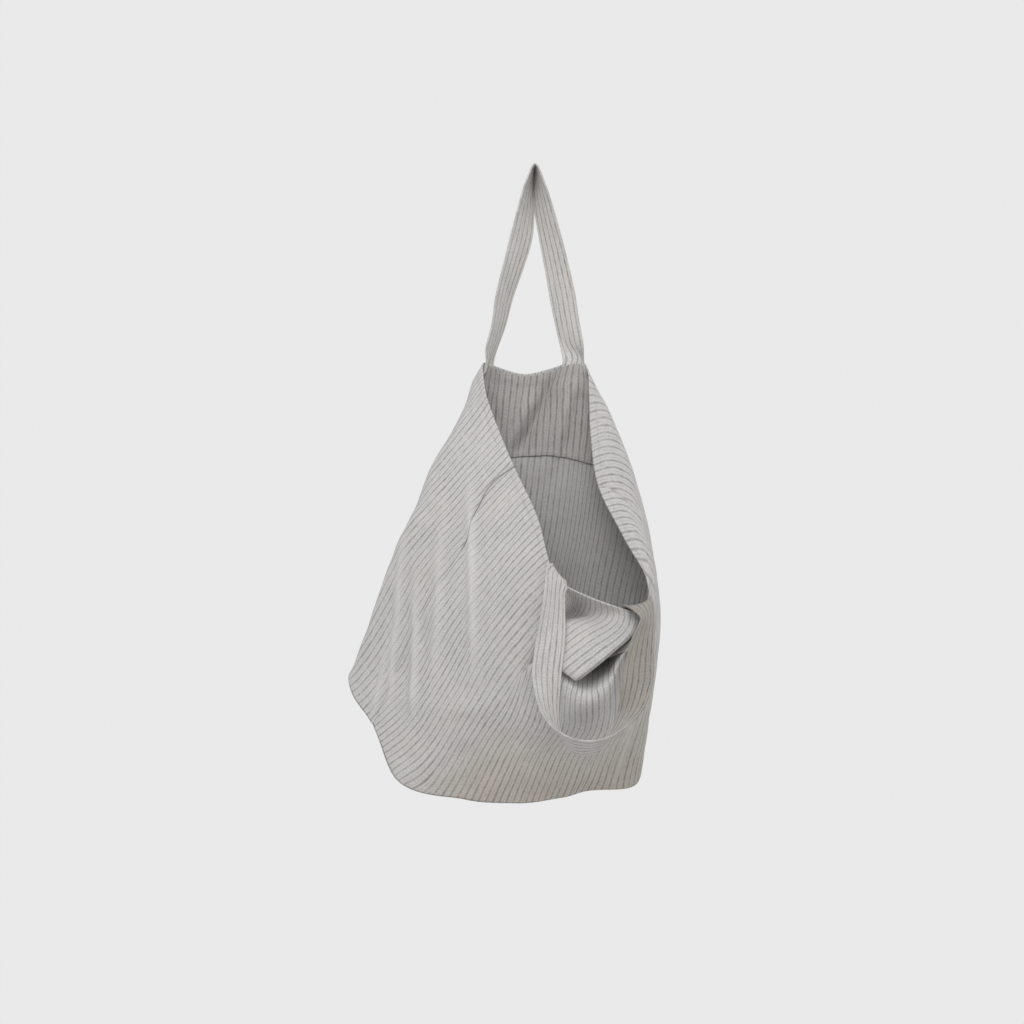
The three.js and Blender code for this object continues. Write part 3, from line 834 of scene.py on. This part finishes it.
    # painted shade in the crease of a seam
    crease = math_node("MULTIPLY_ADD", mark("seam"), CREASE_GAIN, -CREASE_GAIN * CREASE_FROM, clamp=True)
    colour = mix(math_node("MULTIPLY", crease, CREASE_SHADE_SHARE), colour, tinted(CREASE_SHADE_TINT))

    # painted shade: the side that looks into the bag is a little darker
    colour = mix(math_node("MULTIPLY", mark("inner"), INNER_SHADE_SHARE), colour, tinted(INNER_SHADE_TINT))
    tree.links.new(colour, shader.inputs["Base Color"])

    # relief: a plain weave, slubs and lumps
    weave = math_node("MULTIPLY", wave(across), wave(along))
    height = math_node("ADD", math_node("MULTIPLY", weave, 0.25), math_node("MULTIPLY", slub, 0.9))
    height = math_node("ADD", height, math_node("MULTIPLY", noise(*LUMPS), 0.8))
    bump = tree.nodes.new("ShaderNodeBump")
    bump.inputs["Strength"].default_value = 0.6
    bump.inputs["Distance"].default_value = 0.4 * MM
    tree.links.new(height, bump.inputs["Height"])
    tree.links.new(bump.outputs["Normal"], shader.inputs["Normal"])
    rough = math_node("MULTIPLY_ADD", slub, 0.12, 0.82)
    tree.links.new(rough, shader.inputs["Roughness"])
    shader.inputs["Specular IOR Level"].default_value = 0.25
    shader.inputs["Sheen Weight"].default_value = 0.12
    shader.inputs["Sheen Roughness"].default_value = 0.6
    return material


def thread_material(name, colour):
    material, tree, shader = new_material(name)
    noise = tree.nodes.new("ShaderNodeTexNoise")
    noise.inputs["Scale"].default_value = 900
    ramp = tree.nodes.new("ShaderNodeMix")
    ramp.data_type = "RGBA"
    ramp.inputs[6].default_value = (*(c * 0.8 for c in colour), 1)
    ramp.inputs[7].default_value = (*(min(1, c * 1.1) for c in colour), 1)
    tree.links.new(noise.outputs["Fac"], ramp.inputs[0])
    tree.links.new(ramp.outputs[2], shader.inputs["Base Color"])
    shader.inputs["Roughness"].default_value = 0.75
    return material


# the panels' linen, with painted shade on the lower front and on the bottom
linen_material = linen("linen", LINEN_GROUND, STRIPE, LINEN_STRIPES, PAINTED_SHADE_PANEL)
# the facing's linen, darker as painted shade inside the bag
shaded_inside_material = linen("linen_inside", SHADED_INSIDE_GROUND, STRIPE, INSIDE_STRIPES)
strap_material = linen("linen_strap", STRAP_GROUND, STRIPE, STRAP_STRIPES)
# the front handle's linen, with painted shade on its right half
shaded_strap_material = linen("linen_strap_shaded", STRAP_GROUND, STRIPE, STRAP_STRIPES, PAINTED_SHADE_STRAP)
thread = thread_material("thread", SEWING_THREAD)


# The two panels

# Marks for the painted shade in the seams' creases: the left one at its top and further down, the right one
# and those of the boxed corners; where the left one gives way, and how much flatter both grooves get there.
LEFT_CREASE, RIGHT_CREASE, CORNER_CREASE = (1, 0.73), 0.74, 0.86
SEAM_FADE = (105, 170)
SEAM_FLATTER = 0.7


def stripe_drift(table, places):
    """How far the stripes stray at places, a row of them for each of DOWN."""
    at, strays = zip(*table)
    levels = through(DRIFT_LEVELS, np.array(strays, float).T, DOWN)
    return np.array([through(at, level, row) for level, row in zip(levels, places)])


def panel(name, start, corner, table):
    """One panel with its half of the bottom, from one side seam to the other."""
    sheet = Sheet()
    columns = int(round(MOUTH / 2 / COLUMN))
    around = start + np.arange(columns + 1) * COLUMN
    around[0] += SEAM_GAP
    around[-1] -= SEAM_GAP
    sway = through(*zip(*SEAM_SWAY), DOWN)
    near = 1 - smoothstep(np.abs(around - SIDE_SEAM), 0, SEAM_EASE)
    places = around[None] + sway[:, None] * near[None]
    rows = np.array([sheet.add(on_body(row, down)) for row, down in zip(places, DOWN)])
    stripes = places + stripe_drift(table, places)
    sheet.weave(rows, np.stack([stripes, np.repeat(DOWN[:, None], columns + 1, 1)], -1))
    foot, first = rows[-1], int(round((corner - start) / COLUMN))
    last = columns - first
    place = np.concatenate(sheet.points)
    share = np.linspace(0, 1, last - first + 1)[:, None]
    seam = place[foot[0]] * (1 - share) + place[foot[-1]] * share
    near = place[foot[first:last + 1]]
    straight = near[:1] * (1 - share) + near[-1:] * share
    bottom = [foot[first:last + 1]]
    for r in range(1, first + 1):
        inward = r / first
        sides = place[foot[first - r]] * (1 - share) + place[foot[last + r]] * share
        row = near * (1 - inward) + seam * inward + sides - straight * (1 - inward) - seam * inward
        inner = sheet.add(row[1:-1])
        bottom.append(np.concatenate([[foot[first - r]], inner, [foot[last + r]]]))
    deep = WALL_HEIGHT + np.arange(first + 1) * COLUMN
    sheet.weave(bottom, np.stack(np.meshgrid(stripes[-1, first:last + 1], deep), -1))
    sheet.finish()
    normals = sheet.normals()
    down = np.full(len(sheet.points), float(WALL_HEIGHT))
    down[rows.ravel()] = np.repeat(DOWN, columns + 1)
    hem = 1 - smoothstep(down, HEM - HEM_STEP, HEM + HEM_STEP)
    # the cloth turns in along the seams
    groove = np.zeros(len(sheet.points))
    beside = np.minimum(np.arange(columns + 1), columns - np.arange(columns + 1)) * COLUMN
    groove[rows] = SEAM_GROOVE * np.exp(-((beside / SEAM_ROUND) ** 2))
    # where the painted shade of the seams' creases and boxed corners goes
    seam = np.zeros(len(sheet.points))
    left, right = (0, -1) if start > 0 else (-1, 0)
    fade = smoothstep(DOWN, *SEAM_FADE)
    seam[rows[:, left]] = LEFT_CREASE[0] - (LEFT_CREASE[0] - LEFT_CREASE[1]) * fade
    seam[rows[:, right]] = RIGHT_CREASE
    seam[foot[:first + 1]] = seam[foot[last:]] = CORNER_CREASE
    groove[rows] *= (1 - SEAM_FLATTER * fade)[:, None]
    # and puckers along the hem
    uneven = SEWN_IN + PUCKER * np.random.default_rng(HEM_SEED).normal(size=columns + 1)
    groove[rows] += uneven * np.exp(-(((DOWN[:, None] - HEM_STITCH) / HEM_PULL) ** 2))
    thick = CLOTH + hem * (HEM_CLOTH - CLOTH)
    marks = np.stack([seam, ridges(sheet.points, normals)[1]], 1)
    return solid_sheet(name, sheet, groove, groove + thick, linen_material, normals, marks)


def handle_box(at):
    """The stitches that hold the end of a handle, seen outside the mouth."""
    left, right, low = at - STRAP_STITCH, at + STRAP_STITCH, HANDLE_TAIL - BOX_INSET
    return [
        stitch_run((left, left), (HEM_STITCH, low), 0),
        stitch_run((right, right), (HEM_STITCH, low), 0),
        stitch_run((left, right), (low, low), 0),
    ]


back_panel = panel("back_panel_cloth", -SIDE_SEAM, -BACK_CORNER, BACK_DRIFT)
back_hem = (HEM_INSET - SIDE_SEAM, SIDE_SEAM - HEM_INSET), (HEM_STITCH, HEM_STITCH)
back_panel_stitches = stitches(
    back_panel, "linen", stitch_run(*back_hem, 0),
    *handle_box(-BACK_HANDLE), *handle_box(BACK_HANDLE),
)
front_panel = panel("front_panel_cloth", SIDE_SEAM, FRONT_CORNER, FRONT_DRIFT)
front_hem = (SIDE_SEAM + HEM_INSET, 3 * SIDE_SEAM - HEM_INSET), (HEM_STITCH, HEM_STITCH)
front_panel_stitches = stitches(
    front_panel, "linen", stitch_run(*front_hem, 0), stitch_run(*front_hem, HEM_CLOTH, inside=True),
    *handle_box(FRONT_HANDLE), *handle_box(MOUTH - FRONT_HANDLE),
)


# The facing inside the back

FACING_ENDS = (6 - SIDE_SEAM, SIDE_SEAM - 5)
FACING_TOP_ROWS, FACING_FIRST_ROW = (3, 4, 6), 9

# Its lower edge is drawn up near the middle (where, how wide, how far) and sags to the right.
DRAWN_UP_AT, DRAWN_UP_SPREAD, DRAWN_UP = -10, 40, 4
SAG_FROM_TO, SAG = (30, 80), 5

# How far beside a handle's end and below the hem it comes to lie flat again
OVER_HANDLE = (4, 22)
OVER_HEM = 6

# Its turned lower edge, how much thicker that is, its stitches, and how its stripes are shifted
TURNED_FROM_TO, TURNED_THICKER = (9, 8), 0.9
FACING_STITCH = 6
FACING_SHIFT = 2.5


def facing(name):
    """The facing, and the line of stitches along its lower edge."""
    sheet = Sheet()
    around = np.arange(*FACING_ENDS, COLUMN)
    levels = np.arange(FACING_FIRST_ROW, FACING_HEIGHT - 2, ROW)
    levels = np.concatenate([FACING_TOP_ROWS, levels, [FACING_HEIGHT - 1, FACING_HEIGHT]])
    grid_around, share = np.meshgrid(around, levels / FACING_HEIGHT)
    edge = FACING_HEIGHT - DRAWN_UP * np.exp(-(((grid_around - DRAWN_UP_AT) / DRAWN_UP_SPREAD) ** 2))
    grid_down = share * (edge + SAG * smoothstep(-grid_around, *SAG_FROM_TO))
    beside = np.abs(np.abs(grid_around) - BACK_HANDLE) - HANDLE_WIDTH / 2
    over = 1 - smoothstep(np.maximum(beside, grid_down - HANDLE_TAIL), *OVER_HANDLE)
    hem = 1 - smoothstep(grid_down, HEM - HEM_STEP, HEM + OVER_HEM)
    depth = CLOTH + GAP + over * (STRAP_CLOTH + 2 * GAP) + hem * (HEM_CLOTH - CLOTH)
    points = on_body(grid_around, grid_down, depth)
    rows = sheet.add(points).reshape(grid_around.shape)
    sheet.weave(rows, np.stack([grid_around + FACING_SHIFT, grid_down], -1))
    sheet.finish()
    turned = smoothstep(share.ravel(), *(1 - up / FACING_HEIGHT for up in TURNED_FROM_TO))
    piece = solid_sheet(name, sheet, 0, FACING_CLOTH * (1 + TURNED_THICKER * turned), shaded_inside_material)
    # stitches along its lower edge, on the face that looks into the bag
    grid = points.reshape(*grid_around.shape, 3)
    inward = -sheet.normals().reshape(grid.shape)
    row = int(np.argmin(np.abs(levels - (FACING_HEIGHT - FACING_STITCH))))
    every = np.arange(2, len(around) - 2)
    middle = grid[row, every] + inward[row, every] * FACING_CLOTH * (1 + TURNED_THICKER)
    return piece, (middle, grid[row, every + 1] - grid[row, every - 1], inward[row, every])


back_facing, facing_run = facing("back_facing_cloth")
back_facing_stitches = stitches(back_facing, "linen_inside", facing_run)


# The handles

# Where the cross sections of their sewn ends lie on the cloth
SEWN_LEVELS = (HANDLE_TAIL, HEM, -6)


def handle(name, way, starts, ends, outside, material):
    """A flat strap: its ends lie inside the mouth on the panel, and the rest follows its way."""
    edge = np.array(STRAP_EDGE)
    flat = np.linspace(-STRAP_FLAT, STRAP_FLAT, STRAP_COLUMNS)
    across = np.concatenate([-edge[::-1], flat, edge])
    sunk = HEM_CLOTH + GAP + STRAP_CLOTH / 2

    def sewn(at, side, down):
        return on_body(at + side * outside * across, down, sunk)

    def free(x, y, z, turn, tip):
        a, b = math.radians(turn), math.radians(tip)
        side = np.array([math.cos(a) * math.cos(b), math.sin(a) * math.cos(b), math.sin(b)])
        return np.array([x, y, z]) + across[:, None] * side

    sections = np.array([
        *(sewn(starts, 1, down) for down in SEWN_LEVELS),
        *(free(*row) for row in way),
        *(sewn(ends, -1, down) for down in SEWN_LEVELS[::-1]),
    ])
    middle = sections[:, len(across) // 2]
    gone = np.concatenate([[0], np.cumsum(np.linalg.norm(np.diff(middle, axis=0), axis=1))])
    along = np.linspace(0, gone[-1], int(gone[-1] / STRAP_STEP))
    grid = through(gone, sections, along)
    sheet = Sheet()
    rows = sheet.add(grid).reshape(grid.shape[:2])
    places = np.stack(np.meshgrid(across + STRIPE_PITCH / 2, along), -1)
    if outside < 0:
        rows, places = rows[:, ::-1], places[:, ::-1]
    sheet.weave(rows, places)
    sheet.finish()
    sewn_down = np.exp(-(((np.abs(across) - STRAP_STITCH) / STRAP_PULL) ** 2))
    uneven = SEWN_IN + PUCKER * np.random.default_rng(STRAP_SEED).normal(size=len(along))
    half = (STRAP_CLOTH / 2 - STRAP_SEWN_IN * uneven[:, None] * sewn_down).ravel()
    piece = solid_sheet(name, sheet, -half, half, material)
    # two lines of stitches on each face
    every = np.arange(STITCH_PITCH, gone[-1] - STITCH_PITCH, STITCH_PITCH)
    line, ahead = through(gone, sections, every), through(gone, sections, every + 1)
    runs = []
    for at in (-STRAP_STITCH, STRAP_STITCH):
        k = int(np.searchsorted(across, at)) - 1
        share = (at - across[k]) / (across[k + 1] - across[k])
        middle = line[:, k] * (1 - share) + line[:, k + 1] * share
        way = ahead[:, k] * (1 - share) + ahead[:, k + 1] * share - middle
        up = unit(np.cross(line[:, k + 1] - line[:, k], way))
        for face in (up, -up):
            runs.append((middle + face * (STRAP_CLOTH / 2 - STITCH_SUNK), way, face))
    return piece, stitches(piece, "linen_strap", *runs)


back_handle, back_handle_stitches = handle(
    "back_handle_strap", BACK_HANDLE_WAY, BACK_HANDLE, -BACK_HANDLE, 1, strap_material
)
front_handle, front_handle_stitches = handle(
    "front_handle_strap", FRONT_HANDLE_WAY, FRONT_HANDLE, MOUTH - FRONT_HANDLE, -1, shaded_strap_material
)

# What each piece stands for, and its flat size in metres

PANEL_AREA = ((BASE_WIDTH + BASE_DEPTH) * WALL_HEIGHT + BASE_WIDTH * BASE_DEPTH / 2) * MM**2
PANEL_CUT = ((BASE_WIDTH + BASE_DEPTH) * MM, (WALL_HEIGHT + BASE_DEPTH / 2) * MM)
FACING_CUT = (0.49, 0.118)
HANDLE_CUT = (0.04, 0.6)

for piece, sewing, node, slot, flat, area, held_on in (
    (back_panel, back_panel_stitches, "back_panel", "linen", PANEL_CUT, PANEL_AREA, ["back_handle"]),
    (front_panel, front_panel_stitches, "front_panel", "linen", PANEL_CUT, PANEL_AREA, ["back_panel"]),
    (back_facing, back_facing_stitches, "back_facing", "linen_inside", FACING_CUT, None, ["back_panel"]),
    (back_handle, back_handle_stitches, "back_handle", "linen_strap", HANDLE_CUT, None, []),
    (front_handle, front_handle_stitches, "front_handle", "linen_strap", HANDLE_CUT, None, ["front_panel"]),
):
    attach(piece, "root")
    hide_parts(node)


# Camera, light and floor

CAMERA_PLACE = (-0.0317, -3.0, -0.4789)
CAMERA_SENSOR, CAMERA_LENS = 36, 76.43
FLOOR_RADIUS, FLOOR_HEIGHT, FLOOR_SIDES = 1.7, -2.6, 96

camera = bpy.data.objects.new("camera", bpy.data.cameras.new("camera"))
camera.location = CAMERA_PLACE
camera.rotation_euler = (math.pi / 2, 0, 0)
camera.data.sensor_width = CAMERA_SENSOR
camera.data.lens = CAMERA_LENS
bpy.context.scene.collection.objects.link(camera)
bpy.context.scene.camera = camera

# The room's light by the height of its direction: warm from below, dimmer from overhead.
SKY = (
    # upright, colour
    (-0.80, (0.30, 0.26, 0.21)),
    (-0.25, (0.82, 0.82, 0.82)),
    (0.30, (0.82, 0.82, 0.82)),
    (0.85, (0.55, 0.56, 0.57)),
)
world = bpy.data.worlds.new("studio")
world.use_nodes = True
sky = world.node_tree.nodes["Background"]
direction = world.node_tree.nodes.new("ShaderNodeTexCoord")
height = world.node_tree.nodes.new("ShaderNodeSeparateXYZ")
fade = world.node_tree.nodes.new("ShaderNodeValToRGB")
fade.color_ramp.elements.remove(fade.color_ramp.elements[0])
for upright, colour in SKY:
    stop = fade.color_ramp.elements.new((upright + 1) / 2)
    stop.color = (*colour, 1)
fade.color_ramp.elements.remove(fade.color_ramp.elements[-1])
level = world.node_tree.nodes.new("ShaderNodeMath")
level.operation = "MULTIPLY_ADD"
level.inputs[1].default_value = 0.5
level.inputs[2].default_value = 0.5
world.node_tree.links.new(direction.outputs["Generated"], height.inputs[0])
world.node_tree.links.new(height.outputs["Z"], level.inputs[0])
world.node_tree.links.new(level.outputs[0], fade.inputs["Fac"])
world.node_tree.links.new(fade.outputs["Color"], sky.inputs["Color"])
bpy.context.scene.world = world
bpy.context.scene.view_settings.view_transform = "Standard"


def area_light(name, place, aim, size, power):
    light = bpy.data.objects.new(name, bpy.data.lights.new(name, "AREA"))
    light.data.shape = "DISK"
    light.data.size = size
    light.data.energy = power
    light.location = place
    way = np.array(aim) - np.array(place)
    flat = math.hypot(way[0], way[1])
    light.rotation_euler = (math.atan2(flat, -way[2]), 0, math.atan2(-way[0], way[1]))
    bpy.context.scene.collection.objects.link(light)


area_light("key", place=(-0.3, -2.6, 1.7), aim=(0, -0.1, -0.55), size=2.4, power=47)
area_light("behind", place=(1.4, 2.4, 1.3), aim=(0, -0.05, -0.55), size=1.6, power=26)


def pale_floor():
    mesh = bpy.data.meshes.new("floor")
    turn = np.linspace(0, 2 * math.pi, FLOOR_SIDES + 1)[:-1]
    height = np.full(FLOOR_SIDES, FLOOR_HEIGHT)
    ring = np.stack([FLOOR_RADIUS * np.cos(turn), FLOOR_RADIUS * np.sin(turn), height], 1)
    mesh.from_pydata(ring.tolist(), [], [list(range(FLOOR_SIDES))])
    material, tree, shader = new_material("floor")
    shader.inputs["Base Color"].default_value = (0.8, 0.8, 0.8, 1)
    shader.inputs["Roughness"].default_value = 0.9
    mesh.materials.append(material)
    floor = bpy.data.objects.new("floor", mesh)
    bpy.context.scene.collection.objects.link(floor)


pale_floor()
